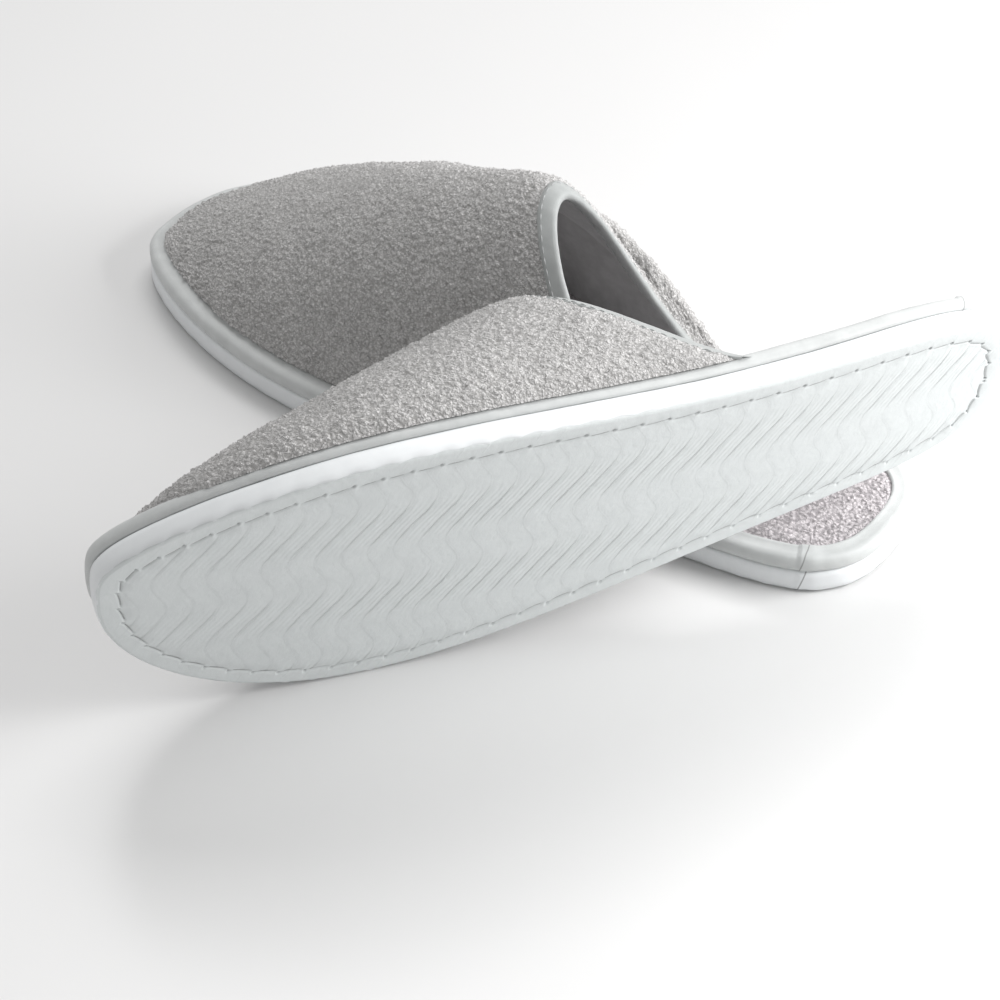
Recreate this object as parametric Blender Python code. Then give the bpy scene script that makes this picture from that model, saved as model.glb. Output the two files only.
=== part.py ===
"""A pair of closed-toe, backless spa slippers.

One slipper lies flat on its sole. The other leans across it, standing on the long edge of its sole.
Each slipper is shaped in its own frame: the heel towards -X, the toe towards +X, the sole's underside at z = 0.
"""

import math

import bpy
from mathutils import Matrix
from mathutils import Vector

# Sole outline
LENGTH = 0.280
WIDTH_MEAN = 0.0521
WIDTH_TOE = 0.0031
WIDTH_ENDS = 0.0048
WIDTH_WAIST = 0.0071
END_BLUNTNESS = 0.78
MIDDLE_SHIFT = -0.0032
TOE_SHIFT = -0.0148
HEEL_SHIFT = 0.0050
OUTLINE_POINTS = 48
DENSE_STEPS = 200

# Heights of the sole's layers above its underside
GAP = 0.0003
OUTSOLE_TOP = 0.0030
MIDSOLE_TOP = 0.0070
PAD_TOP = 0.0112
COVER_TOP = 0.0130
BINDING_TOP = 0.0128

# Distances in from the sole's outline
TAPE_THICKNESS = 0.0010
LIP_WIDTH = 0.0062
STITCH_INSET = 0.0060
GROOVE_WIDTH = 0.0018
GROOVE_DEPTH = 0.0014

# Vamp, as fractions of the length from the heel, and its layers' thicknesses
MOUTH_TOP = 0.44
VAMP_INSET = 0.0060
TERRY_THICKNESS = 0.0022
FOAM_THICKNESS = 0.0014
LINING_THICKNESS = 0.0008
COLLAR_LEG = 0.0050
COLLAR_TAPE = 0.0007
ROWS = 10
COLUMNS = 16

# Places: x, y and z of the middle of the underside, then heading, pitch and roll in degrees
FLAT_PLACE = (0.0, 0.0, 0.0, 0.0, 0.0, 0.0)
LEANING_PLACE = (-0.0836, 0.0941, 0.0590, 53.4, 0.2, 75.3)
LEANING_CURL = 0.0114
FLAT_VAMP = {"height": 0.074, "bulge": 1.3, "peak": 1.6, "wing_end": 0.23, "sweep": 1.5}
LEANING_VAMP = {"height": 0.057, "bulge": 1.5, "peak": 1.1, "wing_end": 0.26, "sweep": 1.0}

WHITE_FOAM = (0.80, 0.83, 0.84)
WHITE_TAPE = (0.86, 0.88, 0.89)
GREY_SATIN = (0.55, 0.57, 0.58)
GREY_TERRY = (0.36, 0.355, 0.36)
GREY_LINING = (0.30, 0.31, 0.32)
PALE_FOAM = (0.72, 0.72, 0.70)
BOARD_FOAM = (0.62, 0.62, 0.60)
THREAD_WHITE = (0.78, 0.79, 0.79)


def clear_scene():
    for item in list(bpy.data.objects):
        bpy.data.objects.remove(item)


def plain_material(name, colour, roughness):
    material = bpy.data.materials.new(name)
    material.use_nodes = True
    shader = material.node_tree.nodes["Principled BSDF"]
    shader.inputs["Base Color"].default_value = (*colour, 1.0)
    shader.inputs["Roughness"].default_value = roughness
    shader.inputs["Metallic"].default_value = 0.0
    material.diffuse_color = (*colour, 1.0)
    return material


def edge_point(turn):
    """A point of the sole's outline; turn runs from 0 at the heel, over the +Y side, to 2 pi."""
    side = 1.0 if turn <= math.pi else -1.0
    angle = turn if turn <= math.pi else 2.0 * math.pi - turn
    swell = WIDTH_MEAN - WIDTH_TOE * math.cos(angle)
    swell += WIDTH_ENDS * math.cos(2.0 * angle) + WIDTH_WAIST * math.cos(3.0 * angle)
    half_width = max(math.sin(angle), 0.0) ** END_BLUNTNESS * swell
    centre = MIDDLE_SHIFT * math.sin(angle) ** 2
    toe_part = 0.5 * (1.0 - math.cos(angle))
    centre += TOE_SHIFT * math.sin(angle) * toe_part * (0.3 - math.cos(angle))
    centre += HEEL_SHIFT * math.sin(angle) * (1.0 - toe_part)
    return Vector((-0.5 * LENGTH * math.cos(angle), centre + side * half_width))


def dense_outline(inset):
    """Closely spaced points of the outline moved inwards, with the heel point first."""
    count = 2 * DENSE_STEPS
    points = [edge_point(2.0 * math.pi * k / count) for k in range(count)]
    moved = []
    for k in range(count):
        along = points[(k + 1) % count] - points[k - 1]
        inward = Vector((along.y, -along.x)).normalized()
        moved.append(points[k] + inset * inward)
    return moved


def even_outline(inset):
    """The same outline as OUTLINE_POINTS evenly spaced points."""
    dense = dense_outline(inset)
    count = len(dense)
    lengths = [0.0]
    for k in range(count):
        lengths.append(lengths[-1] + (dense[(k + 1) % count] - dense[k]).length)
    result = []
    k = 0
    for step in range(OUTLINE_POINTS):
        goal = lengths[-1] * step / OUTLINE_POINTS
        while lengths[k + 1] < goal:
            k += 1
        part = (goal - lengths[k]) / (lengths[k + 1] - lengths[k])
        result.append(dense[k].lerp(dense[(k + 1) % count], part))
    return result


def width_table(inset):
    """For the inset outline: its x values from heel to toe with the y of both sides."""
    dense = dense_outline(inset)
    upper = dense[: DENSE_STEPS + 1]
    lower = [dense[0]] + dense[: DENSE_STEPS - 1 : -1]
    return upper, lower


def height_at(x, curve):
    """The y of a heel-to-toe curve at x."""
    for a, b in zip(curve, curve[1:]):
        if a.x <= x <= b.x and b.x > a.x:
            return a.y + (b.y - a.y) * (x - a.x) / (b.x - a.x)
    return curve[-1].y if x >= curve[-1].x else curve[0].y


def mesh_object(name, points, faces, material, slipper):
    """Places a closed mesh given in the slipper's own frame."""
    placed = [slipper["matrix"] @ curled(p, slipper) for p in points]
    centre = sum(placed, Vector()) / len(placed)
    mesh = bpy.data.meshes.new(name)
    mesh.from_pydata([p - centre for p in placed], [], faces)
    mesh.materials.append(material)
    mesh.shade_smooth()
    mesh.set_sharp_from_angle(angle=math.radians(40.0))
    item = bpy.data.objects.new(name, mesh)
    item.location = centre
    bpy.context.scene.collection.objects.link(item)
    return item


def curled(point, slipper):
    """Lifts heel and toe where the sole is bent."""
    lift = slipper["curl"] * (point[0] / (0.5 * LENGTH)) ** 2
    return Vector((point[0], point[1], point[2] + lift))


def loop_faces(first, second, count):
    """Quads between two rings of points, the second above the first."""
    return [
        (first + k, second + k, second + (k + 1) % count, first + (k + 1) % count)
        for k in range(count)
    ]


def cap_faces(first, count):
    """Closes a ring with strips from side to side, facing down, so that it can follow the sole's bend."""
    faces = [(first, first + 1, first + count - 1)]
    for k in range(1, count // 2 - 1):
        faces.append((first + k, first + k + 1, first + count - k - 1, first + count - k))
    toe = first + count // 2
    faces.append((toe - 1, toe, toe + 1))
    return faces


def stacked_solid(name, levels, material, slipper):
    """A slab whose side runs through the given (inset, z) levels, closed at the first and at the last."""
    points = []
    for inset, z in levels:
        points += [(p.x, p.y, z) for p in even_outline(inset)]
    count = OUTLINE_POINTS
    faces = cap_faces(0, count)
    for k in range(len(levels) - 1):
        faces += loop_faces(k * count, (k + 1) * count, count)
    top = cap_faces((len(levels) - 1) * count, count)
    faces += [tuple(reversed(face)) for face in top]
    return mesh_object(name, points, faces, material, slipper)


def ring_solid(name, profile, material, slipper):
    """A closed band whose cross-section is the given loop of (inset, z), outer side upwards and back inside."""
    points = []
    for inset, z in profile:
        points += [(p.x, p.y, z) for p in even_outline(inset)]
    count = OUTLINE_POINTS
    faces = []
    for k in range(len(profile)):
        faces += loop_faces(k * count, (k + 1) % len(profile) * count, count)
    return mesh_object(name, points, faces, material, slipper)


def vamp_table(depth, slipper):
    """What places a point on the vamp's surface at this depth below its outer face."""
    upper, lower = width_table(VAMP_INSET + depth)
    return {
        "upper": upper,
        "lower": lower,
        "depth": depth,
        "tip": 0.5 * LENGTH - VAMP_INSET - depth,
        "height": slipper["vamp"]["height"] - depth,
        "bulge": slipper["vamp"]["bulge"],
        "peak": slipper["vamp"]["peak"],
    }


def arch_height(x, table):
    """Height of the vamp's middle line above the insole, rising from the toe to the mouth."""
    rear = (MOUTH_TOP - 0.5) * LENGTH
    run = (table["tip"] - x) / (table["tip"] - rear)
    rise = 1.0 - (1.0 - min(max(run, 0.0), 1.0)) ** table["bulge"]
    return table["height"] * rise


def vamp_point(x, angle, table):
    """A point of the vamp: angle 0 is its lower edge on the +Y side, 90 degrees its middle line."""
    left = height_at(x, table["upper"])
    right = height_at(x, table["lower"])
    y = 0.5 * (left + right) + 0.5 * (left - right) * math.cos(angle)
    rise = max(math.sin(angle), 0.0) ** table["peak"]
    return (x, y, COVER_TOP + GAP + arch_height(x, table) * rise)


def mouth_x(angle, slipper):
    """Where the vamp's opening edge lies along the slipper."""
    wing = slipper["vamp"]["wing_end"]
    part = wing + (MOUTH_TOP - wing) * max(math.sin(angle), 0.0) ** slipper["vamp"]["sweep"]
    return (part - 0.5) * LENGTH


def vamp_layer(name, outer, inner, material, slipper):
    """One cloth or foam layer of the vamp, between two depths below the outer face."""
    tables = [vamp_table(outer, slipper), vamp_table(inner, slipper)]
    angles = [math.pi * j / COLUMNS for j in range(COLUMNS + 1)]
    wide = COLUMNS + 1
    points = []
    for table in tables:
        for i in range(ROWS):
            part = 1.0 - (1.0 - max(i - 1, 0) / (ROWS - 1)) ** 1.35
            for angle in angles:
                start = mouth_x(angle, slipper) + (COLLAR_LEG + 3.0 * GAP if i else 0.0)
                points.append(vamp_point(start + (table["tip"] - start) * part, angle, table))
        tip_y = height_at(table["tip"], table["upper"])
        points.append((table["tip"], tip_y, COVER_TOP + GAP))
    sheet = ROWS * wide + 1
    faces = []
    for i in range(ROWS - 1):
        for j in range(COLUMNS):
            a = i * wide + j
            faces.append((a, a + 1, a + wide + 1, a + wide))
            faces.append((sheet + a, sheet + a + wide, sheet + a + wide + 1, sheet + a + 1))
    last = (ROWS - 1) * wide
    tip = ROWS * wide
    for j in range(COLUMNS):
        faces.append((last + j, last + j + 1, tip))
        faces.append((sheet + last + j, sheet + tip, sheet + last + j + 1))
        faces.append((j, sheet + j, sheet + j + 1, j + 1))
    for i in range(ROWS - 1):
        a = i * wide
        b = a + COLUMNS
        faces.append((a, a + wide, sheet + a + wide, sheet + a))
        faces.append((b, sheet + b, sheet + b + wide, b + wide))
    faces.append((last, tip, sheet + tip, sheet + last))
    faces.append((last + COLUMNS, sheet + last + COLUMNS, sheet + tip, tip))
    return mesh_object(name, points, faces, material, slipper)


def collar(name, inner, material, slipper):
    """The folded tape that wraps the vamp's opening edge, inner being the lining's inner face."""
    near = -2.0 * GAP
    far = inner + 2.0 * GAP
    profile = [
        (COLLAR_LEG, near - COLLAR_TAPE),
        (COLLAR_LEG, near),
        (-GAP, near),
        (-GAP, far),
        (COLLAR_LEG, far),
        (COLLAR_LEG, far + COLLAR_TAPE),
        (-GAP - COLLAR_TAPE, far + COLLAR_TAPE),
        (-GAP - COLLAR_TAPE, near - COLLAR_TAPE),
    ]
    stations = COLUMNS
    tables = [vamp_table(depth, slipper) for _, depth in profile]
    points = []
    for j in range(stations + 1):
        angle = math.pi * j / stations
        for (ahead, _), table in zip(profile, tables):
            points.append(vamp_point(mouth_x(angle, slipper) + ahead, angle, table))
    sides = len(profile)
    faces = [tuple(range(sides))]
    for j in range(stations):
        for k in range(sides):
            a = j * sides + k
            b = j * sides + (k + 1) % sides
            faces.append((a, a + sides, b + sides, b))
    top = stations * sides
    faces.append(tuple(reversed(range(top, top + sides))))
    return mesh_object(name, points, faces, material, slipper)


def outsole(prefix, material, slipper):
    outer = STITCH_INSET - 0.5 * GROOVE_WIDTH
    inner = STITCH_INSET + 0.5 * GROOVE_WIDTH
    levels = [
        (inner, 0.0),
        (inner, GROOVE_DEPTH),
        (outer, GROOVE_DEPTH),
        (outer, 0.0),
        (0.0, 0.0),
        (0.0, OUTSOLE_TOP),
    ]
    stacked_solid(prefix + "outsole", levels, material, slipper)


def sole_stitching(prefix, material, slipper):
    outer = STITCH_INSET - 0.5 * GROOVE_WIDTH + GAP
    inner = STITCH_INSET + 0.5 * GROOVE_WIDTH - GAP
    low = GAP
    high = GROOVE_DEPTH - GAP
    profile = [(outer, low), (outer, high), (inner, high), (inner, low)]
    ring_solid(prefix + "sole_stitching", profile, material, slipper)


def midsole(prefix, material, slipper):
    edge = TAPE_THICKNESS + GAP
    levels = [(edge, OUTSOLE_TOP + GAP), (edge, MIDSOLE_TOP)]
    stacked_solid(prefix + "midsole_board", levels, material, slipper)


def side_wrap(prefix, material, slipper):
    low = OUTSOLE_TOP + GAP
    edge = TAPE_THICKNESS
    profile = [(0.0, low), (0.0, MIDSOLE_TOP), (edge, MIDSOLE_TOP), (edge, low)]
    ring_solid(prefix + "side_wrap", profile, material, slipper)


def edge_binding(prefix, material, slipper):
    low = MIDSOLE_TOP + GAP
    edge = TAPE_THICKNESS
    lip = BINDING_TOP - TAPE_THICKNESS
    profile = [
        (0.0006, low),
        (0.0, 0.5 * (low + BINDING_TOP)),
        (0.0006, BINDING_TOP),
        (LIP_WIDTH, BINDING_TOP),
        (LIP_WIDTH, lip),
        (edge + 0.0006, lip),
        (edge + 0.0006, low),
    ]
    ring_solid(prefix + "edge_binding", profile, material, slipper)


def insole_pad(prefix, material, slipper):
    edge = TAPE_THICKNESS + 0.0006 + GAP
    levels = [(edge, MIDSOLE_TOP + GAP), (edge, PAD_TOP)]
    stacked_solid(prefix + "insole_pad", levels, material, slipper)


def insole_cover(prefix, material, slipper):
    edge = LIP_WIDTH + GAP
    levels = [(edge, PAD_TOP + GAP), (edge, COVER_TOP)]
    stacked_solid(prefix + "insole_cover", levels, material, slipper)


def place_matrix(place):
    x, y, z, heading, pitch, roll = place
    turn = Matrix.Rotation(math.radians(heading), 4, "Z")
    tip = Matrix.Rotation(math.radians(pitch), 4, "Y")
    lean = Matrix.Rotation(math.radians(roll), 4, "X")
    return Matrix.Translation((x, y, z)) @ turn @ tip @ lean


def build_slipper(prefix, slipper, materials):
    outsole(prefix, materials["white_foam"], slipper)
    sole_stitching(prefix, materials["thread"], slipper)
    midsole(prefix, materials["board"], slipper)
    side_wrap(prefix, materials["white_tape"], slipper)
    edge_binding(prefix, materials["satin"], slipper)
    insole_pad(prefix, materials["pale_foam"], slipper)
    insole_cover(prefix, materials["terry"], slipper)
    terry_in = TERRY_THICKNESS
    foam_out = terry_in + GAP
    foam_in = foam_out + FOAM_THICKNESS
    lining_out = foam_in + GAP
    lining_in = lining_out + LINING_THICKNESS
    vamp_layer(prefix + "vamp_outer", 0.0, terry_in, materials["terry"], slipper)
    vamp_layer(prefix + "vamp_foam", foam_out, foam_in, materials["pale_foam"], slipper)
    vamp_layer(prefix + "vamp_lining", lining_out, lining_in, materials["lining"], slipper)
    collar(prefix + "collar_binding", lining_in, materials["satin"], slipper)


def build_materials():
    return {
        "white_foam": plain_material("white_foam", WHITE_FOAM, 0.65),
        "white_tape": plain_material("white_tape", WHITE_TAPE, 0.35),
        "satin": plain_material("satin", GREY_SATIN, 0.45),
        "terry": plain_material("terry", GREY_TERRY, 0.95),
        "lining": plain_material("lining", GREY_LINING, 0.80),
        "pale_foam": plain_material("pale_foam", PALE_FOAM, 0.90),
        "board": plain_material("board", BOARD_FOAM, 0.90),
        "thread": plain_material("thread", THREAD_WHITE, 0.60),
    }


def main():
    clear_scene()
    materials = build_materials()
    flat = {
        "matrix": place_matrix(FLAT_PLACE),
        "curl": 0.0,
        "vamp": FLAT_VAMP,
    }
    leaning = {
        "matrix": place_matrix(LEANING_PLACE),
        "curl": LEANING_CURL,
        "vamp": LEANING_VAMP,
    }
    build_slipper("flat_", flat, materials)
    build_slipper("leaning_", leaning, materials)


main()
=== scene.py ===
"""Looks for a pair of closed-toe spa slippers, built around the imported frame.

One slipper lies flat, the other leans across it. Both are shaped by the same formulas in a slipper's own
frame, with its heel towards -X, its toe towards +X and its sole's underside at z = 0. They are then placed
where the frame has them.
"""

import math

import bpy
import numpy as np
from mathutils import Matrix
from mathutils import Vector
from mathutils import noise
from mathutils.kdtree import KDTree


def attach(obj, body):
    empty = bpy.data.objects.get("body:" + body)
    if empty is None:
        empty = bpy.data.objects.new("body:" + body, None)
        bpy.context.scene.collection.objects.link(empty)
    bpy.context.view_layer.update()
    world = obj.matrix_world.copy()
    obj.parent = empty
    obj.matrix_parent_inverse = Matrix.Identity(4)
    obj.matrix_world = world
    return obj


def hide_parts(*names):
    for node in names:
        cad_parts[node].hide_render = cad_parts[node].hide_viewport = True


# Sole outline and layer heights, as in the solids
LENGTH = 0.280
WIDTH_MEAN = 0.0521
WIDTH_TOE = 0.0031
WIDTH_ENDS = 0.0048
WIDTH_WAIST = 0.0071
END_BLUNTNESS = 0.78
MIDDLE_SHIFT = -0.0032
TOE_SHIFT = -0.0148
HEEL_SHIFT = 0.0050
OUTSOLE_TOP = 0.0030
COVER_TOP = 0.0130
MOUTH_TOP = 0.44
VAMP_INSET = 0.0054
SURFACE_GAP = 0.0003
# Where the vamp changes near its opening edge, as distances ahead of that edge
PRESSED_START = -0.002
PRESSED_END = 0.018
SUNK_END = 0.070
# The sole's stitch line, its seam at the heel and the tread's waves
STITCH_PITCH = 0.0086
STITCH_INSET = 0.0060
STITCH_LEAN = 0.0010
STITCH_BOW = 0.0004
SEAM_X = -0.1235
WAVE_WIDTH = 0.0370
WAVE_SWING = 0.0035
WAVE_SKEW = -0.12
WAVE_PITCH = 0.0077
WAVE_START = 0.0150
WAVE_LEAN = 0.2
TREAD_DEPTH = 0.00022
# Towelling loops and the collar's stitches
LOOP_SIZE = 0.00150
COLLAR_PITCH = 0.0034

FLAT = {
    "prefix": "flat_",
    "body": "flat_slipper",
    "place": (0.0, 0.0, 0.0, 0.0, 0.0, 0.0),
    "curl": 0.0,
    "height": 0.074,
    "bulge": 1.3,
    "peak": 1.6,
    "rim_height": 0.0,
    "rim_peak": (1.6, 3.2),
    "mouth_top": 0.44,
    "wing_end": 0.23,
    "sweep": 1.5,
    "spread": 0.0,
    "far_spread": 0.0055,
    "far_blend": 0.018,
    "hang": 0.0,
    "roll_in": (0.0006, 0.0050),
    "seed": 3.0,
}
LEANING = {
    "prefix": "leaning_",
    "body": "leaning_slipper",
    "place": (-0.0836, 0.0941, 0.0590, 53.4, 0.2, 75.3),
    "curl": 0.0114,
    "height": 0.057,
    "bulge": 1.5,
    "peak": 1.1,
    "rim_height": 0.004,
    "rim_peak": (1.5, 1.2),
    "mouth_top": 0.48,
    "wing_end": 0.30,
    "sweep": 1.0,
    "spread": 0.0068,
    "far_spread": 0.0,
    "far_blend": 0.070,
    "hang": 0.0026,
    "roll_in": (0.0032, 0.0010),
    "seed": 11.0,
}

CAMERA_AT = Vector((-0.4725, 0.7363, 0.7282))
CAMERA_TO = Vector((-0.0251, 0.0454, 0.0))
CAMERA_LENS = 125.9

FINE = 1.0


# ---------------------------------------------------------------- shape of the slipper


def edge_points(turn):
    """Points of the sole's outline; turn runs from 0 at the heel, over the +Y side, to 2 pi."""
    side = np.where(turn <= math.pi, 1.0, -1.0)
    angle = np.where(turn <= math.pi, turn, 2.0 * math.pi - turn)
    c = np.cos(angle)
    s = np.clip(np.sin(angle), 0.0, 1.0)
    swell = WIDTH_MEAN - WIDTH_TOE * c + WIDTH_ENDS * np.cos(2 * angle)
    swell = swell + WIDTH_WAIST * np.cos(3 * angle)
    toe_part = 0.5 * (1.0 - c)
    centre = MIDDLE_SHIFT * s**2 + TOE_SHIFT * s * toe_part * (0.3 - c)
    centre = centre + HEEL_SHIFT * s * (1.0 - toe_part)
    return np.stack([-0.5 * LENGTH * c, centre + side * s**END_BLUNTNESS * swell], axis=1)


DENSE = edge_points(np.linspace(0.0, 2.0 * math.pi, 1601)[:-1])
DENSE_ALONG = np.roll(DENSE, -1, axis=0) - np.roll(DENSE, 1, axis=0)
DENSE_ALONG /= np.linalg.norm(DENSE_ALONG, axis=1)[:, None]
DENSE_INWARD = np.stack([DENSE_ALONG[:, 1], -DENSE_ALONG[:, 0]], axis=1)
DENSE_STEP = np.linalg.norm(np.roll(DENSE, -1, axis=0) - DENSE, axis=1)
DENSE_ARC = np.concatenate([[0.0], np.cumsum(DENSE_STEP)[:-1]])
PERIMETER = float(DENSE_STEP.sum())


def ring_frame(count):
    """Evenly spaced places round the outline: point, inward direction and distance from the heel."""
    arc = np.linspace(0.0, PERIMETER, count + 1)[:-1]
    where = np.concatenate([DENSE_ARC, [PERIMETER]])
    closed = np.concatenate([DENSE, DENSE[:1]])
    inward = np.concatenate([DENSE_INWARD, DENSE_INWARD[:1]])
    point = np.stack([np.interp(arc, where, closed[:, k]) for k in (0, 1)], axis=1)
    into = np.stack([np.interp(arc, where, inward[:, k]) for k in (0, 1)], axis=1)
    return point, into / np.linalg.norm(into, axis=1)[:, None], arc


def side_curves(inset):
    """The inset outline's +Y and -Y sides, each from heel to toe."""
    moved = DENSE + inset * DENSE_INWARD
    half = len(moved) // 2
    return moved[: half + 1], np.concatenate([moved[:1], moved[: half - 1 : -1]])


def place_points(points, slipper):
    """From the slipper's own frame to where it lies, bending the sole on the way."""
    x, y, z, heading, pitch, roll = slipper["place"]
    turn = Matrix.Rotation(math.radians(heading), 3, "Z")
    turn = turn @ Matrix.Rotation(math.radians(pitch), 3, "Y")
    turn = turn @ Matrix.Rotation(math.radians(roll), 3, "X")
    bent = points.copy()
    bent[:, 2] += slipper["curl"] * (points[:, 0] / (0.5 * LENGTH)) ** 2
    return bent @ np.array(turn).T + np.array([x, y, z])


def smooth_step(low, high, value):
    part = np.clip((value - low) / (high - low), 0.0, 1.0)
    return part * part * (3.0 - 2.0 * part)


def mouth_x(angle, slipper):
    """Where the vamp's opening edge lies along the slipper."""
    rise = np.clip(np.sin(angle), 0.0, 1.0) ** slipper["sweep"]
    part = slipper["wing_end"] + (slipper["mouth_top"] - slipper["wing_end"]) * rise
    return (part - 0.5) * LENGTH


def vamp_surface(x, angle, depth, slipper):
    """The vamp's surface at a depth below its outer face: angle 0 is its lower edge on the +Y side.

    Near the mouth the layers are pressed thinner, the edge rolls in and sinks, and the far flank
    swells out.
    """
    ahead = x - mouth_x(angle, slipper)
    near = 1.0 - smooth_step(PRESSED_START, PRESSED_END, ahead)
    close = 1.0 - smooth_step(0.0, SUNK_END, ahead)
    far = smooth_step(math.pi / 2 - 0.25, math.pi / 2 + 0.25, angle)
    roll_in = slipper["roll_in"][0] * (1.0 - far) + slipper["roll_in"][1] * far
    depth = depth * (1.0 - 0.55 * near) + roll_in * near**2
    tip = 0.5 * LENGTH - VAMP_INSET - depth
    upper, lower = side_curves(VAMP_INSET)
    spread = slipper["spread"] * smooth_step(0.0, 0.03, tip - x)
    left = np.interp(x, upper[:, 0], upper[:, 1]) - depth + spread
    right = np.interp(x, lower[:, 0], lower[:, 1]) + depth - slipper["far_spread"] * close
    rear = (MOUTH_TOP - 0.5) * LENGTH
    run = np.clip((tip - x) / (tip - rear), 0.0, 1.0)
    height = slipper["height"] + slipper["rim_height"] * close - depth
    height = height * (1.0 - (1.0 - run) ** slipper["bulge"])
    low_flank = smooth_step(0.58 * math.pi, 0.80 * math.pi, angle)
    far_blend = SUNK_END + (slipper["far_blend"] - SUNK_END) * low_flank
    far_close = 1.0 - smooth_step(0.0, far_blend, ahead)
    near_peak = (slipper["rim_peak"][0] - slipper["peak"]) * close
    far_peak = (slipper["rim_peak"][1] - slipper["peak"]) * far_close
    peak = slipper["peak"] + near_peak * (1.0 - far) + far_peak * far
    rise = np.clip(np.sin(angle), 0.0, 1.0) ** peak
    flat_end = np.clip(left - right, 0.0, None)
    y = 0.5 * (left + right) + 0.5 * flat_end * np.cos(angle)
    hang = slipper["hang"] * smooth_step(0.0, 0.03, tip - x)
    hang = hang * np.clip(np.cos(angle), 0.0, 1.0) ** 6
    return np.stack([x, y, COVER_TOP + SURFACE_GAP - hang + height * rise], axis=-1)


# ---------------------------------------------------------------- meshes


def grid_faces(rows, cols, wrap=False, first=0):
    i = np.arange(rows - 1)[:, None]
    j = np.arange(cols if wrap else cols - 1)[None, :]
    a = i * cols + j
    b = i * cols + (j + 1) % cols
    quads = np.stack([a, b, b + cols, a + cols], axis=-1).reshape(-1, 4)
    return quads + first


def add_piece(name, points, faces, material, slipper, values=None, uv=None):
    """Makes a mesh piece of the slipper, with an optional value per point for the materials to read."""
    mesh = bpy.data.meshes.new(name)
    placed = place_points(points, slipper)
    mesh.vertices.add(len(placed))
    mesh.vertices.foreach_set("co", placed.astype(np.float32).ravel())
    mesh.loops.add(faces.size)
    mesh.loops.foreach_set("vertex_index", faces.astype(np.int32).ravel())
    mesh.polygons.add(len(faces))
    mesh.polygons.foreach_set("loop_start", np.arange(0, faces.size, faces.shape[1], dtype=np.int32))
    mesh.update(calc_edges=True)
    mesh.validate()
    mesh.shade_smooth()
    for key, value in (values or {}).items():
        layer = mesh.attributes.new(key, "FLOAT", "POINT")
        layer.data.foreach_set("value", value.astype(np.float32).ravel())
    if uv is not None:
        layer = mesh.uv_layers.new(name="UVMap")
        layer.data.foreach_set("uv", uv[faces.ravel()].astype(np.float32).ravel())
    mesh.materials.append(material)
    piece = bpy.data.objects.new(name, mesh)
    bpy.context.scene.collection.objects.link(piece)
    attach(piece, slipper["body"])
    return piece


def band(name, profile, count, material, slipper, wobble):
    """A ring round the sole: profile is a loop of (inset, z), and wobble(arc, k) moves its point k."""
    point, inward, arc = ring_frame(count)
    rows = []
    maps = []
    across = 0.0
    before = profile[0]
    for k, (inset, z) in enumerate(profile):
        across += math.hypot(inset - before[0], z - before[1])
        before = (inset, z)
        d_inset, d_z = wobble(arc, k)
        rows.append(np.column_stack([point + (inset + d_inset)[:, None] * inward, z + d_z]))
        maps.append(np.column_stack([arc, np.full(count, across)]))
    closed = grid_faces(len(profile), count, wrap=True)
    last = (len(profile) - 1) * count + np.arange(count)
    first = np.arange(count)
    ends = np.stack([last, np.roll(last, -1), np.roll(first, -1), first], axis=1)
    faces = np.concatenate([closed, ends])[:, ::-1]
    return add_piece(name, np.concatenate(rows), faces, material, slipper, uv=np.concatenate(maps))


def smooth_noise(points, size, seed):
    """Soft noise from -1 to 1 with features of about this size in metres."""
    shift = Vector((seed, 0.7 * seed, -seed))
    return np.array([noise.noise(Vector(p) / size + shift) for p in points])


def wave_noise(arc, size, seed):
    """Soft noise along the sole's edge that meets itself at the heel."""
    turn = 2.0 * math.pi * arc / PERIMETER
    radius = PERIMETER / (2.0 * math.pi * size)
    places = [Vector((radius * math.cos(t), radius * math.sin(t), seed)) for t in turn]
    return np.array([noise.noise(place) for place in places])


def seam_arc():
    """Distance along the outline from the heel to the place where the tapes' ends overlap."""
    half = len(DENSE) // 2
    return float(np.interp(SEAM_X, DENSE[: half + 1, 0], DENSE_ARC[: half + 1]))


SEAM_ARC = seam_arc()


def tape_overlap(arc):
    """How far the tape's end stands proud of the layer under it, near the seam."""
    near = arc - SEAM_ARC
    return 0.00035 * smooth_step(-0.009, -0.004, near) * (near < 0.0)


def pile(points, size, seed):
    """Height of looped towelling at each point, from 0 in the gaps to about 1 on the loops."""
    shift = Vector((seed, seed, seed))
    heights = np.empty(len(points))
    for k, p in enumerate(points):
        at = Vector(p) / size + shift
        warp = noise.noise_vector(at * 0.45) * 0.9 + noise.noise_vector(at * 1.3) * 0.35
        nearest = noise.voronoi(at + warp)[0]
        ridge = min(1.0, (nearest[1] - nearest[0]) * 1.5)
        loop = max(0.0, 1.0 - 0.75 * nearest[0])
        heights[k] = 0.60 * loop + 0.40 * ridge
    return heights


def outward_normals(grid):
    """The grid's normals, on the side that points up in the middle of the vamp."""
    along = np.gradient(grid, axis=0)
    across = np.gradient(grid, axis=1)
    normal = np.cross(along, across)
    length = np.linalg.norm(normal, axis=2, keepdims=True)
    normal = normal / np.maximum(length, 1e-12)
    middle = normal[grid.shape[0] // 3, grid.shape[1] // 2]
    return -normal if middle[2] < 0 else normal


# ---------------------------------------------------------------- materials


def new_material(name, colour, roughness):
    material = bpy.data.materials.new(name)
    material.use_nodes = True
    shader = material.node_tree.nodes["Principled BSDF"]
    shader.inputs["Base Color"].default_value = (*colour, 1.0)
    shader.inputs["Roughness"].default_value = roughness
    return material, material.node_tree, shader


def add_node(tree, kind, **inputs):
    node = tree.nodes.new(kind)
    for key, value in inputs.items():
        node.inputs[key.replace("_", " ")].default_value = value
    return node


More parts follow.
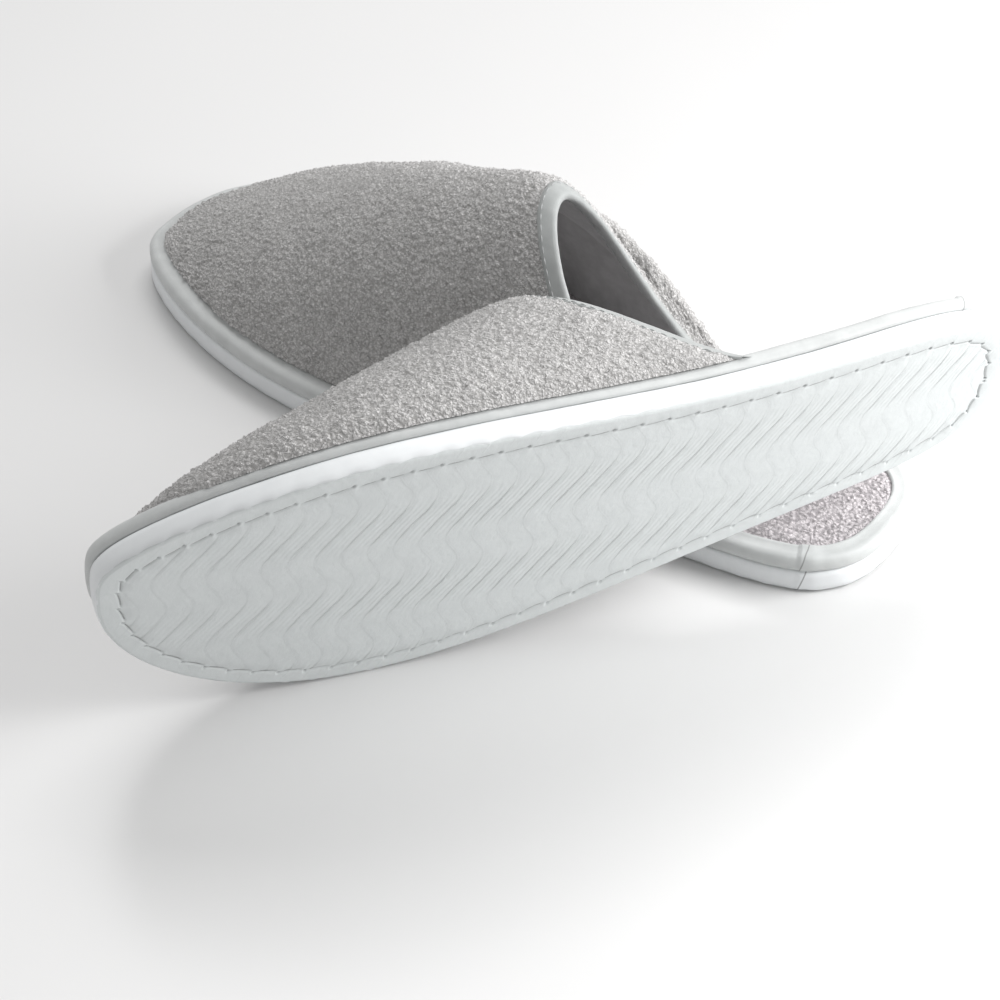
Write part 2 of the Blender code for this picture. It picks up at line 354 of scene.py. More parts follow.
def mottled(tree, shader, light, dark, scale):
    """Soft variation between two colours."""
    place = tree.nodes.new("ShaderNodeTexCoord")
    speckle = add_node(tree, "ShaderNodeTexNoise", Scale=scale, Detail=3.0, Roughness=0.6)
    ramp = tree.nodes.new("ShaderNodeValToRGB")
    ramp.color_ramp.elements[0].position = 0.35
    ramp.color_ramp.elements[1].position = 0.65
    ramp.color_ramp.elements[0].color = (*dark, 1.0)
    ramp.color_ramp.elements[1].color = (*light, 1.0)
    tree.links.new(place.outputs["Object"], speckle.inputs["Vector"])
    tree.links.new(speckle.outputs["Fac"], ramp.inputs["Fac"])
    tree.links.new(ramp.outputs["Color"], shader.inputs["Base Color"])
    return place, ramp


def bumpy(tree, shader, source, distance, strength, under=None):
    bump = add_node(tree, "ShaderNodeBump", Distance=distance, Strength=strength)
    tree.links.new(source, bump.inputs["Height"])
    if under is not None:
        tree.links.new(under.outputs["Normal"], bump.inputs["Normal"])
    tree.links.new(bump.outputs["Normal"], shader.inputs["Normal"])
    return bump


def math_step(tree, kind, first, second=None, third=None):
    """One math node in a material: each term is a number or another node's output."""
    step = tree.nodes.new("ShaderNodeMath")
    step.operation = kind
    for socket, term in zip(step.inputs, (first, second, third)):
        if isinstance(term, (int, float)):
            socket.default_value = term
        elif term is not None:
            tree.links.new(term, socket)
    return step.outputs[0]


def ranged(tree, value, low, high, to_low, to_high):
    """Maps a value softly from one range to another."""
    step = tree.nodes.new("ShaderNodeMapRange")
    step.interpolation_type = "SMOOTHSTEP"
    limits = {"From Min": low, "From Max": high, "To Min": to_low, "To Max": to_high}
    for key, number in limits.items():
        step.inputs[key].default_value = number
    tree.links.new(value, step.inputs["Value"])
    return step.outputs["Result"]


def terry_material(name, tip, painted_gap_shade, grain):
    """Looped towelling: painted shade between the loops, its own light colour on them, with soft patches
    and fine fibres.
    """
    material, tree, shader = new_material(name, tip, 1.0)
    shader.inputs["Specular IOR Level"].default_value = 0.10
    shader.inputs["Sheen Weight"].default_value = 0.25
    shader.inputs["Sheen Roughness"].default_value = 0.5
    place = tree.nodes.new("ShaderNodeTexCoord")
    height = tree.nodes.new("ShaderNodeAttribute")
    height.attribute_name = "pile"
    warp = add_node(tree, "ShaderNodeTexNoise", Scale=0.7 * grain, Detail=2.0)
    shift = tree.nodes.new("ShaderNodeVectorMath")
    shift.operation = "MULTIPLY_ADD"
    shift.inputs[1].default_value = (1.5 / grain, 1.5 / grain, 1.5 / grain)
    loops = add_node(tree, "ShaderNodeTexVoronoi", Scale=grain)
    fibre = add_node(tree, "ShaderNodeTexNoise", Scale=3.2 * grain, Detail=2.0, Roughness=0.7)
    patch = add_node(tree, "ShaderNodeTexNoise", Scale=110.0, Detail=3.0)
    for noise_node in (warp, fibre, patch):
        tree.links.new(place.outputs["Object"], noise_node.inputs["Vector"])
    tree.links.new(warp.outputs["Color"], shift.inputs[0])
    tree.links.new(place.outputs["Object"], shift.inputs[2])
    tree.links.new(shift.outputs[0], loops.inputs["Vector"])
    clump = ranged(tree, loops.outputs["Distance"], 0.12, 0.80, 1.0, 0.0)
    level = math_step(tree, "MULTIPLY_ADD", height.outputs["Fac"], 0.55, clump)
    level = math_step(tree, "MULTIPLY_ADD", fibre.outputs["Fac"], 0.35, level)
    # Painted shade: the ramp darkens the colour towards the second colour where the loops are low, as if
    # the gaps between them lay in shadow.
    ramp = tree.nodes.new("ShaderNodeValToRGB")
    ramp.color_ramp.elements[0].position = 0.18
    ramp.color_ramp.elements[0].color = (*painted_gap_shade, 1.0)
    ramp.color_ramp.elements[1].position = 0.85
    ramp.color_ramp.elements[1].color = (*tip, 1.0)
    middle = ramp.color_ramp.elements.new(0.45)
    middle.color = (0.72 * tip[0], 0.72 * tip[1], 0.72 * tip[2], 1.0)
    tree.links.new(math_step(tree, "MULTIPLY", level, 0.5), ramp.inputs["Fac"])
    shade = tree.nodes.new("ShaderNodeMix")
    shade.data_type = "RGBA"
    shade.blend_type = "MULTIPLY"
    shade.inputs[0].default_value = 0.25
    tree.links.new(ramp.outputs["Color"], shade.inputs[6])
    tree.links.new(patch.outputs["Fac"], shade.inputs[7])
    tree.links.new(shade.outputs[2], shader.inputs["Base Color"])
    first = bumpy(tree, shader, level, 0.0005, 0.7)
    bumpy(tree, shader, fibre.outputs["Fac"], 0.0003, 0.5, under=first)
    return material


def darken(tree, shader, amount, colour):
    """Mixes a darker colour over the base colour where the amount is high."""
    under = shader.inputs["Base Color"].links[0].from_socket
    shade = tree.nodes.new("ShaderNodeMix")
    shade.data_type = "RGBA"
    shade.inputs[7].default_value = (*colour, 1.0)
    tree.links.new(amount, shade.inputs[0])
    tree.links.new(under, shade.inputs[6])
    tree.links.new(shade.outputs[2], shader.inputs["Base Color"])


def tape_material(name, light, dark, roughness, sheen, ribbing, seam=True):
    """Satin binding tape: fine ribs along it, a little sheen and soft mottling."""
    material, tree, shader = new_material(name, light, roughness)
    shader.inputs["Specular IOR Level"].default_value = 0.35
    shader.inputs["Sheen Weight"].default_value = sheen
    mottled(tree, shader, light, dark, 160.0)
    uv = tree.nodes.new("ShaderNodeUVMap")
    uv.uv_map = "UVMap"
    split = tree.nodes.new("ShaderNodeSeparateXYZ")
    tree.links.new(uv.outputs["UV"], split.inputs[0])
    if seam:
        along = math_step(tree, "MULTIPLY_ADD", split.outputs[1], 0.3, split.outputs[0])
        off = math_step(tree, "ABSOLUTE", math_step(tree, "SUBTRACT", along, SEAM_ARC))
        line = ranged(tree, off, 0.00008, 0.00034, 0.75, 0.0)
        darken(tree, shader, line, (0.22, 0.22, 0.22))
    ribs = add_node(tree, "ShaderNodeTexWave", Scale=1400.0, Distortion=1.5, Detail=2.0)
    ribs.bands_direction = "X"
    tree.links.new(uv.outputs["UV"], ribs.inputs["Vector"])
    bumpy(tree, shader, ribs.outputs["Fac"], 0.00012, ribbing)
    return material


def foam_material(name, light, dark, roughness):
    """Closed-cell foam rubber: fine pores and a faint mottling."""
    material, tree, shader = new_material(name, light, roughness)
    shader.inputs["Specular IOR Level"].default_value = 0.30
    place, _ = mottled(tree, shader, light, dark, 120.0)
    pores = add_node(tree, "ShaderNodeTexNoise", Scale=2200.0, Detail=2.0)
    lumps = add_node(tree, "ShaderNodeTexNoise", Scale=420.0, Detail=3.0)
    for noise_node in (pores, lumps):
        tree.links.new(place.outputs["Object"], noise_node.inputs["Vector"])
    first = bumpy(tree, shader, lumps.outputs["Fac"], 0.00035, 0.35)
    bumpy(tree, shader, pores.outputs["Fac"], 0.00012, 0.25, under=first)
    return material


def lining_material(name):
    """Smooth knitted lining with a fine grain."""
    material, tree, shader = new_material(name, (0.30, 0.31, 0.32), 0.85)
    shader.inputs["Sheen Weight"].default_value = 0.2
    place, _ = mottled(tree, shader, (0.50, 0.50, 0.50), (0.42, 0.42, 0.42), 200.0)
    grain = add_node(tree, "ShaderNodeTexNoise", Scale=1800.0, Detail=1.0)
    tree.links.new(place.outputs["Object"], grain.inputs["Vector"])
    bumpy(tree, shader, grain.outputs["Fac"], 0.0002, 0.4)
    return material


def plain_material(name, light, dark, roughness):
    material, tree, shader = new_material(name, light, roughness)
    place, ramp = mottled(tree, shader, light, dark, 400.0)
    bumpy(tree, shader, ramp.outputs["Color"], 0.0002, 0.3)
    return material


def floor_material():
    material, tree, shader = new_material("table", (0.73, 0.727, 0.725), 0.28)
    shader.inputs["Specular IOR Level"].default_value = 0.45
    place, _ = mottled(tree, shader, (0.735, 0.732, 0.73), (0.72, 0.717, 0.715), 3.0)
    haze = add_node(tree, "ShaderNodeTexNoise", Scale=700.0, Detail=2.0)
    tree.links.new(place.outputs["Object"], haze.inputs["Vector"])
    bumpy(tree, shader, haze.outputs["Fac"], 0.0002, 0.06)
    return material


# ---------------------------------------------------------------- pieces of one slipper


def tread_height(x, y):
    """How far the tread's wavy steps rise into the sole at each point of its underside."""
    turn = 2.0 * math.pi * (y - WAVE_START) / WAVE_WIDTH
    wave = WAVE_SWING * (np.sin(turn) + WAVE_SKEW * np.sin(2.0 * turn))
    phase = (x + WAVE_LEAN * y + wave) / WAVE_PITCH + 0.11
    slant = 0.35 + 0.65 * smooth_step(-0.4, 0.8, np.cos(turn))
    saw = phase - np.floor(phase)
    return TREAD_DEPTH * (1.0 - slant * saw * smooth_step(0.0, 0.12, 1.0 - saw))


def edge_distance(xy):
    """Distance in from the sole's outline and distance along it, for points near the edge."""
    tree = KDTree(len(DENSE))
    for k, p in enumerate(DENSE):
        tree.insert((p[0], p[1], 0.0), k)
    tree.balance()
    inset = np.empty(len(xy))
    arc = np.empty(len(xy))
    for k, p in enumerate(xy):
        _, index, _ = tree.find((p[0], p[1], 0.0))
        offset = p - DENSE[index]
        inset[k] = offset @ DENSE_INWARD[index]
        arc[k] = DENSE_ARC[index] + offset @ DENSE_ALONG[index]
    return inset, arc



def stitch_line(arc):
    """How far along its own stitch each place is, from 0 to 1, and the thread's inset there."""
    part = arc / STITCH_PITCH
    part = part - np.floor(part)
    return part, STITCH_INSET + STITCH_LEAN * (part - 0.5) + STITCH_BOW * np.sin(math.pi * part)


def stitch_marks(inset, arc):
    """Depth of the sunken stitch line: short curved cuts end to end, each with a needle hole."""
    part, line = stitch_line(arc)
    off = inset - line
    cut = 0.00038 * np.exp(-((off / 0.00038) ** 2)) * smooth_step(1.0, 0.86, part)
    pucker = 0.00022 * np.exp(-((off / 0.0024) ** 2)) * (0.45 + 0.55 * np.sin(math.pi * part))
    hole_x = (part - 0.03) * STITCH_PITCH
    hole = 0.00075 * np.exp(-(hole_x**2 + off**2) / 0.00048**2)
    return cut + pucker + hole


def make_outsole(slipper, materials):
    rows = int(820 * FINE)
    cols = int(200 * FINE)
    angle = np.linspace(0.012, math.pi - 0.012, rows)
    x = -0.5 * LENGTH * np.cos(angle)
    upper, lower = side_curves(0.0)
    high = np.interp(x, upper[:, 0], upper[:, 1])
    low = np.interp(x, lower[:, 0], lower[:, 1])
    across = np.linspace(0.0, 1.0, cols)[None, :]
    grid = np.zeros((rows, cols, 3))
    grid[:, :, 0] = x[:, None]
    grid[:, :, 1] = low[:, None] + (high - low)[:, None] * across
    inset, arc = edge_distance(grid[:, :, :2].reshape(-1, 2))
    cuts = np.where(inset < 0.014, stitch_marks(inset, arc), 0.0)
    tread = 0.25 + 0.75 * smooth_step(0.0050, 0.0078, inset)
    depth = tread * tread_height(grid[:, :, 0], grid[:, :, 1]).ravel()
    depth += cuts
    depth += 0.0004 * smooth_step(0.0009, 0.0, inset)
    grid[:, :, 2] = 0.00005 + depth.reshape(rows, cols)
    # Painted shade in the stitch cuts: the deeper the cut, the darker the sole is painted there.
    dark = np.clip(cuts / 0.0026, 0.0, 1.0)
    rough_edge = 0.00012 * smooth_noise(grid[:, 0, :], 0.0022, slipper["seed"])
    wall_low = grid[:, :1, :].copy()
    wall_high = grid[:, -1:, :].copy()
    grid[:, 0, 1] += rough_edge
    grid[:, -1, 1] += rough_edge
    wall_low[:, :, 2] = OUTSOLE_TOP
    wall_high[:, :, 2] = OUTSOLE_TOP
    full = np.concatenate([wall_low, grid, wall_high], axis=1)
    cut_shades = np.pad(dark.reshape(rows, cols), ((0, 0), (1, 1)))
    tread = np.pad(tread.reshape(rows, cols), ((0, 0), (1, 1)))
    faces = grid_faces(rows, cols + 2)
    piece = add_piece(
        slipper["prefix"] + "tread_sole",
        full.reshape(-1, 3),
        faces[:, ::-1],
        materials["sole"],
        slipper,
        values={"cut_shade": cut_shades, "tread": tread},
        uv=full.reshape(-1, 3)[:, :2],
    )
    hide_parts(slipper["prefix"] + "outsole")


def capsule_run(name, paths, radius, material, slipper):
    """Many short threads in one mesh: each path is a short list of points, with a six-sided section."""
    sides = 6
    points = []
    faces = []
    for path in paths:
        path = np.asarray(path)
        along = np.gradient(path, axis=0)
        along /= np.linalg.norm(along, axis=1)[:, None]
        guide = np.array([0.0, 0.0, 1.0]) if abs(along[0][2]) < 0.9 else np.array([0.0, 1.0, 0.0])
        side = np.cross(along, guide)
        side /= np.linalg.norm(side, axis=1)[:, None]
        up = np.cross(side, along)
        count = len(path)
        first = len(points)
        for k in range(count):
            taper = radius * (0.45 if k in (0, count - 1) else 1.0)
            for j in range(sides):
                turn = 2.0 * math.pi * j / sides
                points.append(path[k] + taper * (math.cos(turn) * side[k] + math.sin(turn) * up[k]))
        faces.append(grid_faces(count, sides, wrap=True, first=first))
    return add_piece(name, np.array(points), np.concatenate(faces), material, slipper)


def make_sole_stitches(slipper, materials):
    count = int(PERIMETER / STITCH_PITCH)
    point, inward, arc = ring_frame(count * 12)
    paths = []
    for k in range(count):
        spot = np.arange(k * 12 + 1, k * 12 + 11)
        _, line = stitch_line(arc[spot])
        flat = point[spot] + line[:, None] * inward[spot]
        paths.append(np.column_stack([flat, np.full(len(spot), 0.00085)]))
    name = slipper["prefix"] + "sole_stitches"
    piece = capsule_run(name, paths, 0.00028, materials["thread"], slipper)
    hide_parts(slipper["prefix"] + "sole_stitching")


def make_side_wrap(slipper, materials):
    profile = [
        (0.0011, 0.0006),
        (0.0001, 0.0004),
        (-0.0003, 0.0009),
        (-0.0004, 0.0030),
        (-0.0003, 0.0056),
        (-0.0001, 0.0070),
        (0.0005, 0.0076),
        (0.0012, 0.0076),
    ]

    def wobble(arc, k):
        free = 1.0 if 0 < k < 7 else 0.0
        soft = 0.00016 * wave_noise(arc, 0.030, slipper["seed"] + k * 0.15)
        crease = 0.00008 * wave_noise(arc, 0.006, slipper["seed"] + 5.0 + k * 0.4)
        height = 0.00014 * wave_noise(arc, 0.024, slipper["seed"] + 9.0) * (1.0 if k > 4 else 0.3)
        if k < 3:
            scallop = 0.5 + 0.5 * np.cos(2.0 * math.pi * arc / STITCH_PITCH)
            height += 0.0004 * scallop + 0.0002 * wave_noise(arc, 0.004, slipper["seed"] + 12.0)
        return free * (soft + crease - tape_overlap(arc)), height

    name = slipper["prefix"] + "side_strip"
    piece = band(name, profile, int(900 * FINE), materials["wrap"], slipper, wobble)
    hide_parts(slipper["prefix"] + "side_wrap")


def make_edge_binding(slipper, materials):
    profile = [
        (0.0013, 0.0079),
        (0.0003, 0.0080),
        (-0.0002, 0.0085),
        (-0.0004, 0.0097),
        (-0.0003, 0.0111),
        (0.0002, 0.0122),
        (0.0010, 0.0129),
        (0.0024, 0.0131),
        (0.0038, 0.0129),
        (0.0049, 0.0133),
        (0.0056, 0.0135),
        (0.0061, 0.0131),
        (0.0060, 0.0121),
    ]

    def wobble(arc, k):
        free = 1.0 if k > 1 else 0.2
        soft = 0.00022 * wave_noise(arc, 0.022, slipper["seed"] + 20.0 + k * 0.12)
        crease = 0.00010 * wave_noise(arc, 0.0045, slipper["seed"] + 30.0 + k * 0.35)
        lift = 0.00022 * wave_noise(arc, 0.013, slipper["seed"] + 40.0 + k * 0.2)
        proud = tape_overlap(arc)
        return free * (soft + crease - proud * (k < 7)), free * (lift + proud * (k > 5))

    name = slipper["prefix"] + "edge_tape"
    piece = band(name, profile, int(900 * FINE), materials["tape"], slipper, wobble)
    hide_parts(slipper["prefix"] + "edge_binding")


def make_insole_cover(slipper, materials):
    rows = int(500 * FINE)
    cols = int(170 * FINE)
    inset = 0.0056
    upper, lower = side_curves(inset)
    angle = np.linspace(0.02, math.pi - 0.02, rows)
    x = -(0.5 * LENGTH - inset) * np.cos(angle)
    high = np.interp(x, upper[:, 0], upper[:, 1])
    low = np.interp(x, lower[:, 0], lower[:, 1])
    across = np.linspace(0.0, 1.0, cols)[None, :]
    grid = np.zeros((rows, cols, 3))
    grid[:, :, 0] = x[:, None]
    grid[:, :, 1] = low[:, None] + (high - low)[:, None] * across
    flat = grid.reshape(-1, 3)
    loops = pile(flat, LOOP_SIZE, slipper["seed"] + 50.0)
    swell = smooth_noise(flat, 0.02, slipper["seed"])
    edge = np.minimum(across, 1.0 - across) * (high - low)[:, None]
    tuck = smooth_step(0.0, 0.0035, edge).ravel()
    flat[:, 2] = 0.0121 + 0.0008 * tuck + 0.0011 * loops * (0.3 + 0.7 * tuck) + 0.0003 * swell * tuck
    name = slipper["prefix"] + "insole_towelling"
    faces = grid_faces(rows, cols)
    piece = add_piece(name, flat, faces, materials["insole"], slipper, values={"pile": loops})
    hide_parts(slipper["prefix"] + "insole_cover")


def vamp_grid(rows, cols, depth, start, slipper):
    """Surface points from the mouth to the toe, and over from the +Y side to the -Y side."""
    angle = np.linspace(0.0, math.pi, cols)[None, :]
    part = (1.0 - (1.0 - np.linspace(0.0, 1.0, rows)) ** 1.15)[:, None]
    tip = 0.5 * LENGTH - VAMP_INSET - depth
    begin = mouth_x(angle, slipper) + start
    x = begin + (tip - 0.0002 - begin) * part
    return vamp_surface(x, np.broadcast_to(angle, x.shape), depth, slipper)


def cloth_swell(points, slipper, amount):
    """Broad soft unevenness of the padded cloth."""
    return amount * smooth_noise(points, 0.026, slipper["seed"] + 70.0)


def make_vamp(slipper, materials):
    rows = int(330 * FINE)
    cols = int(330 * FINE)
    grid = vamp_grid(rows, cols, 0.0006, 0.0016, slipper)
    normal = outward_normals(grid)
    flat = grid.reshape(-1, 3)
    loops = pile(flat, LOOP_SIZE, slipper["seed"])
    swell = cloth_swell(flat, slipper, 0.0009)
    columns = np.arange(cols)[None, :] / (cols - 1.0)
    rim = smooth_step(0.0, 0.03, np.minimum(columns, 1.0 - columns))
    front = smooth_step(0.0, 0.030, np.arange(rows)[:, None] / (rows - 1.0))
    room = (rim * front).ravel()
    lift = (0.0016 * loops - 0.0002) * (0.45 + 0.55 * room) + swell * room + 0.0010 * room
    moved = flat + normal.reshape(-1, 3) * lift[:, None]
    moved[:, 2] = np.maximum(moved[:, 2], COVER_TOP - slipper["hang"])
    name = slipper["prefix"] + "vamp_towelling"
    faces = grid_faces(rows, cols)
    piece = add_piece(name, moved, faces, materials["terry"], slipper, values={"pile": loops})
    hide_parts(slipper["prefix"] + "vamp_outer")


def make_foam(slipper, materials):
    """The vamp's padding, between the towelling and the lining."""
    rows = 60
    cols = 70
    outer = vamp_grid(rows, cols, 0.0022, 0.0030, slipper)
    inner = vamp_grid(rows, cols, 0.0036, 0.0030, slipper)
    ring = np.concatenate([outer, inner[:, ::-1]], axis=1)
    ring[:, :, 2] = np.maximum(ring[:, :, 2], COVER_TOP)
    faces = grid_faces(rows, 2 * cols, wrap=True)
    caps = []
    for row in (0, rows - 1):
        a = row * 2 * cols + np.arange(cols - 1)
        b = row * 2 * cols + 2 * cols - 1 - np.arange(cols - 1)
        quads = np.stack([a, a + 1, b - 1, b], axis=1)
        caps.append(quads if row else quads[:, ::-1])
    name = slipper["prefix"] + "vamp_padding"
    faces = np.concatenate([faces] + caps)
    piece = add_piece(name, ring.reshape(-1, 3), faces[:, ::-1], materials["foam"], slipper)
    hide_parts(slipper["prefix"] + "vamp_foam")


def make_lining(slipper, materials):
    rows = int(110 * FINE)
    cols = int(120 * FINE)
    grid = vamp_grid(rows, cols, 0.0046, 0.0008, slipper)
    normal = outward_normals(grid)
    flat = grid.reshape(-1, 3)
    front = np.repeat(smooth_step(0.04, 0.20, np.arange(rows) / (rows - 1.0)), cols)
    folds = 0.0007 * front * smooth_noise(flat, 0.012, slipper["seed"] + 90.0)
    moved = flat + normal.reshape(-1, 3) * folds[:, None]
    moved[:, 2] = np.maximum(moved[:, 2], COVER_TOP)
    name = slipper["prefix"] + "lining_cloth"
    piece = add_piece(name, moved, grid_faces(rows, cols)[:, ::-1], materials["lining"], slipper)
    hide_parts(slipper["prefix"] + "vamp_lining")


def make_collar(slipper, materials):
    """The tape folded over the vamp's edge."""
    # (distance ahead of the edge, depth below the outer face)
    profile = [
        (0.0062, -0.0008),
        (0.0058, -0.0024),
        (0.0044, -0.0024),
        (0.0024, -0.0025),
        (0.0008, -0.0024),
        (-0.0002, -0.0019),
        (-0.0008, -0.0004),
        (-0.0009, 0.0014),
        (-0.0006, 0.0032),
        (0.0002, 0.0048),
        (0.0012, 0.0056),
        (0.0026, 0.0058),
        (0.0042, 0.0058),
        (0.0058, 0.0056),
        (0.0058, 0.0046),
    ]
    count = int(300 * FINE)
    angle = np.linspace(0.004, math.pi - 0.004, count)
    edge = vamp_surface(mouth_x(angle, slipper), angle, 0.0, slipper)
    arc = np.concatenate([[0.0], np.cumsum(np.linalg.norm(np.diff(edge, axis=0), axis=1))])
    points = []
    maps = []
    across = 0.0
    before = profile[0]
    for k, (ahead, depth) in enumerate(profile):
        across += math.hypot(ahead - before[0], depth - before[1])
        before = (ahead, depth)
        ripple = 0.00022 * wave_noise(arc, 0.0042, slipper["seed"] + 60.0 + 0.2 * k)
        ripple += 0.00030 * wave_noise(arc, 0.017, slipper["seed"] + 65.0 + 0.1 * k)
        pull = 0.00012 * np.cos(2.0 * math.pi * arc / COLLAR_PITCH) if k in (1, 2) else 0.0
        x = mouth_x(angle, slipper) + ahead + ripple + pull
        row = vamp_surface(x, angle, depth, slipper)
        row[:, 2] = np.maximum(row[:, 2], COVER_TOP - slipper["hang"])
        points.append(row)
        maps.append(np.column_stack([arc, np.full(count, across)]))
    name = slipper["prefix"] + "collar_tape"
    faces = grid_faces(len(profile), count)
    uv = np.concatenate(maps)
    piece = add_piece(name, np.concatenate(points), faces, materials["collar"], slipper, uv=uv)
    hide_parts(slipper["prefix"] + "collar_binding")
    make_collar_stitches(slipper, materials, angle, arc)


def make_collar_stitches(slipper, materials, angle, arc):
    """A row of short stitches near the collar tape's lower edge, inside and out."""
    paths = []
    for depth in (-0.0027, 0.0061):
        for k in range(2, int(arc[-1] / COLLAR_PITCH) - 2):
            spot = np.linspace(k * COLLAR_PITCH, k * COLLAR_PITCH + 0.0021, 4)
            turn = np.interp(spot, arc, angle)
            sink = np.array([0.00022, 0.0, 0.0, 0.00022]) * (1.0 if depth < 0 else -1.0)
            row = [
                vamp_surface(mouth_x(t, slipper) + 0.0047, t, depth + s, slipper)
                for t, s in zip(turn, sink)
            ]
            paths.append(np.array(row))
    name = slipper["prefix"] + "collar_stitches"
    piece = capsule_run(name, paths, 0.00020, materials["thread"], slipper)


def build_slipper(slipper, materials):
    make_outsole(slipper, materials)
    make_sole_stitches(slipper, materials)
    make_side_wrap(slipper, materials)
    make_edge_binding(slipper, materials)
    make_insole_cover(slipper, materials)
    make_vamp(slipper, materials)
    make_lining(slipper, materials)
    make_foam(slipper, materials)
    make_collar(slipper, materials)


def dress_inner_nodes(materials):
    """The pieces inside keep their CAD shape and get a finished material."""
    for prefix in ("flat_", "leaning_"):
        for node, material in (("midsole_board", "board"), ("insole_pad", "foam")):
            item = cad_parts[prefix + node]
            item.data.materials.clear()
            item.data.materials.append(materials[material])


# ---------------------------------------------------------------- stage


def build_stage():
    mesh = bpy.data.meshes.new("table_top")
    half = 4.0
    low = -0.0003
    corners = [(-half, -half, low), (half, -half, low), (half, half, low), (-half, half, low)]
    mesh.from_pydata(corners, [], [(0, 1, 2, 3)])
    mesh.materials.append(floor_material())
    table = bpy.data.objects.new("table_top", mesh)
    bpy.context.scene.collection.objects.link(table)


def area_light(name, at, to, size, power):
    light = bpy.data.lights.new(name, "AREA")
    light.shape = "RECTANGLE"
    light.size = size[0]
    light.size_y = size[1]
    light.energy = power
    item = bpy.data.objects.new(name, light)
    item.location = at
    item.rotation_euler = (Vector(to) - Vector(at)).to_track_quat("-Z", "Y").to_euler()
    bpy.context.scene.collection.objects.link(item)


def camera_axes():
    forward = (CAMERA_TO - CAMERA_AT).normalized()
    right = forward.cross(Vector((0.0, 0.0, 1.0))).normalized()
    away = Vector((forward.x, forward.y, 0.0)).normalized()
    return right, away


def build_lights():
    right, away = camera_axes()
    up = Vector((0.0, 0.0, 1.0))
    centre = Vector((-0.02, 0.05, 0.03))
    key = centre + 0.66 * right - 0.04 * away + 0.33 * up
    area_light("key_light", key, centre, (0.40, 0.40), 6.2)
    top = centre + 0.1 * right + 0.9 * away + 1.4 * up
    area_light("top_light", top, centre, (1.2, 0.9), 12.2)
    world = bpy.data.worlds.new("studio")
    world.use_nodes = True
    back = world.node_tree.nodes["Background"]
    back.inputs["Color"].default_value = (1.0, 1.0, 1.0, 1.0)
    back.inputs["Strength"].default_value = 0.50
    bpy.context.scene.world = world


def build_camera():
    camera = bpy.data.cameras.new("camera")
    camera.lens = CAMERA_LENS
    camera.sensor_width = 36.0
    camera.clip_start = 0.05
    camera.clip_end = 20.0
    item = bpy.data.objects.new("camera", camera)
    item.location = CAMERA_AT
    item.rotation_euler = (CAMERA_TO - CAMERA_AT).to_track_quat("-Z", "Y").to_euler()
    bpy.context.scene.collection.objects.link(item)
    bpy.context.scene.camera = item
    bpy.context.scene.view_settings.view_transform = "Standard"


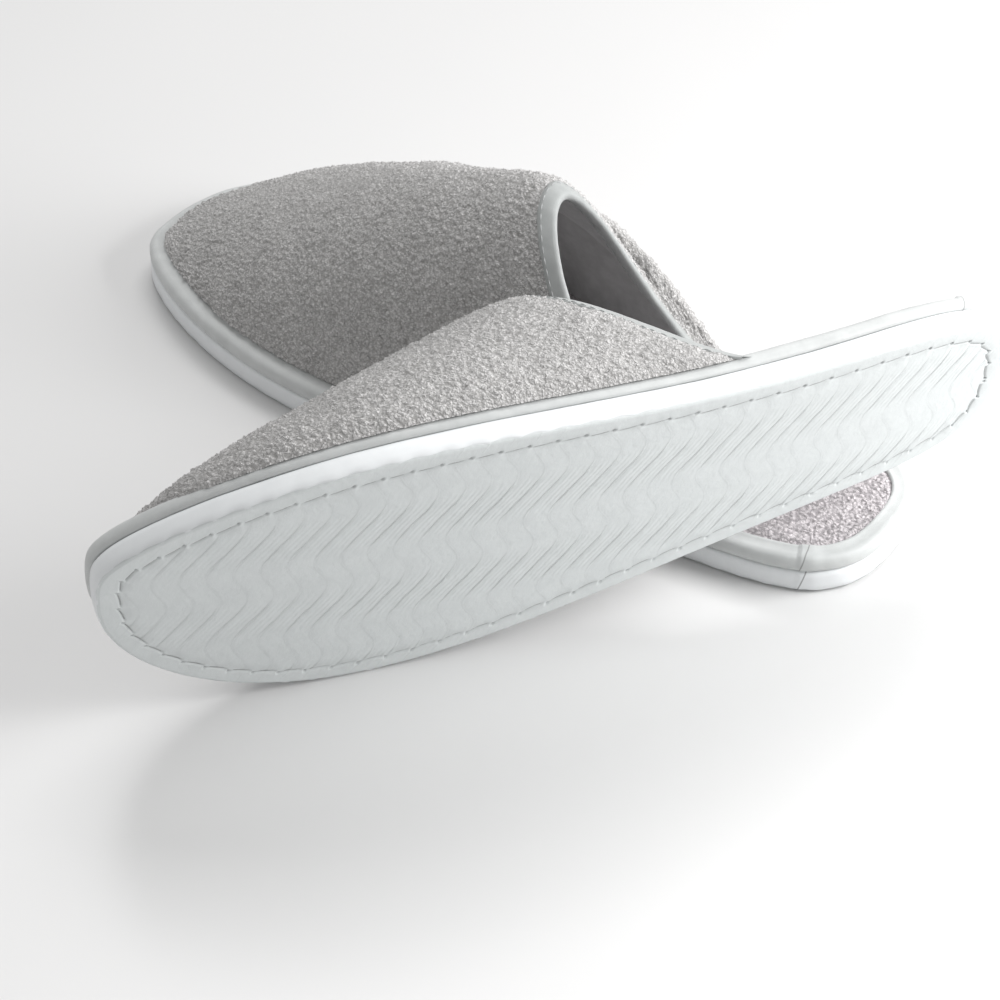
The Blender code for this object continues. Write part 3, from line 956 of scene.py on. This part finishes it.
def sole_material():
    """The foam sole: a tread of wavy moulded lines, with painted shade in the tread's grooves and in its
    stitch cuts.
    """
    material = foam_material("sole_foam", (0.74, 0.77, 0.77), (0.71, 0.74, 0.74), 0.62)
    tree = material.node_tree
    shader = tree.nodes["Principled BSDF"]
    cut_shade = tree.nodes.new("ShaderNodeAttribute")
    cut_shade.attribute_name = "cut_shade"
    tread = tree.nodes.new("ShaderNodeAttribute")
    tread.attribute_name = "tread"
    uv = tree.nodes.new("ShaderNodeUVMap")
    uv.uv_map = "UVMap"
    split = tree.nodes.new("ShaderNodeSeparateXYZ")
    tree.links.new(uv.outputs["UV"], split.inputs[0])
    drift = add_node(tree, "ShaderNodeTexNoise", Scale=90.0, Detail=2.0)
    tree.links.new(uv.outputs["UV"], drift.inputs["Vector"])
    turn = math_step(tree, "SUBTRACT", split.outputs[1], WAVE_START)
    turn = math_step(tree, "MULTIPLY", turn, 2.0 * math.pi / WAVE_WIDTH)
    double = math_step(tree, "SINE", math_step(tree, "MULTIPLY", turn, 2.0))
    swing = math_step(tree, "MULTIPLY_ADD", double, WAVE_SKEW, math_step(tree, "SINE", turn))
    swing = math_step(tree, "MULTIPLY", swing, WAVE_SWING)
    along = math_step(tree, "MULTIPLY_ADD", split.outputs[1], WAVE_LEAN, split.outputs[0])
    phase = math_step(tree, "DIVIDE", math_step(tree, "ADD", along, swing), WAVE_PITCH)
    phase = math_step(tree, "MULTIPLY_ADD", drift.outputs["Fac"], 0.22, phase)
    saw = math_step(tree, "FRACT", phase)
    slant = ranged(tree, math_step(tree, "COSINE", turn), -0.4, 0.8, 0.08, 1.0)
    slant = math_step(tree, "MULTIPLY", slant, ranged(tree, split.outputs[0], 0.03, 0.12, 1.0, 0.40))
    slant = math_step(tree, "MULTIPLY", slant, tread.outputs["Fac"])
    groove = math_step(tree, "MULTIPLY", ranged(tree, saw, 0.90, 1.0, 0.0, 1.0), slant)
    fine = math_step(tree, "SINE", math_step(tree, "MULTIPLY", phase, 2.0 * math.pi * 4.0))
    ripple = math_step(tree, "MULTIPLY", math_step(tree, "MULTIPLY", fine, 0.030), slant)
    hill = math_step(tree, "MULTIPLY_ADD", math_step(tree, "MULTIPLY", saw, slant), 0.34, ripple)
    relief = math_step(tree, "MULTIPLY_ADD", groove, -0.45, hill)
    under = shader.inputs["Normal"].links[0].from_node
    bumpy(tree, shader, relief, 0.0010, 0.9, under=under)
    # Painted shade along the tread's grooves, where the step would cast its shadow.
    darken(tree, shader, math_step(tree, "MULTIPLY", groove, 0.42), (0.30, 0.31, 0.31))
    # Painted shade in the stitch cuts, read from the value the sole mesh carries.
    darken(tree, shader, cut_shade.outputs["Fac"], (0.16, 0.16, 0.16))
    return material


def build_materials():
    white = ((0.86, 0.88, 0.89), (0.83, 0.85, 0.86))
    satin = ((0.62, 0.635, 0.63), (0.57, 0.585, 0.58))
    grey = ((0.43, 0.445, 0.44), (0.38, 0.395, 0.39))
    return {
        "sole": sole_material(),
        "wrap": tape_material("side_strip", *white, 0.38, 0.0, 0.05),
        "tape": tape_material("satin_tape", *satin, 0.45, 0.2, 0.25),
        "collar": tape_material("collar_tape", *grey, 0.5, 0.2, 0.35, seam=False),
        # The second colour of each towelling is the painted shade between its loops.
        "terry": terry_material("towelling", (0.92, 0.905, 0.895), (0.49, 0.48, 0.47), 1150.0),
        "insole": terry_material("insole_towelling", (0.91, 0.855, 0.875), (0.43, 0.40, 0.415), 750.0),
        "lining": lining_material("lining_cloth"),
        "thread": plain_material("thread", (0.46, 0.47, 0.47), (0.38, 0.39, 0.39), 0.6),
        "foam": plain_material("soft_foam", (0.72, 0.72, 0.70), (0.66, 0.66, 0.64), 0.9),
        "board": plain_material("board_foam", (0.62, 0.62, 0.60), (0.56, 0.56, 0.54), 0.9),
    }


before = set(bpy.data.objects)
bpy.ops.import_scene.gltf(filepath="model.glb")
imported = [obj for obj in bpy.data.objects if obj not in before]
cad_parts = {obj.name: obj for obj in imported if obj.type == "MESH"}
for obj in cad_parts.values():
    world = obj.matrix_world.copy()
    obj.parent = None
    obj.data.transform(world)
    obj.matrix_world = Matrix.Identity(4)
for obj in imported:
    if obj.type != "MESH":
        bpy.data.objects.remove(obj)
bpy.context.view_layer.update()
build_camera()
finishes = build_materials()
build_slipper(FLAT, finishes)
build_slipper(LEANING, finishes)
dress_inner_nodes(finishes)
build_stage()
build_lights()
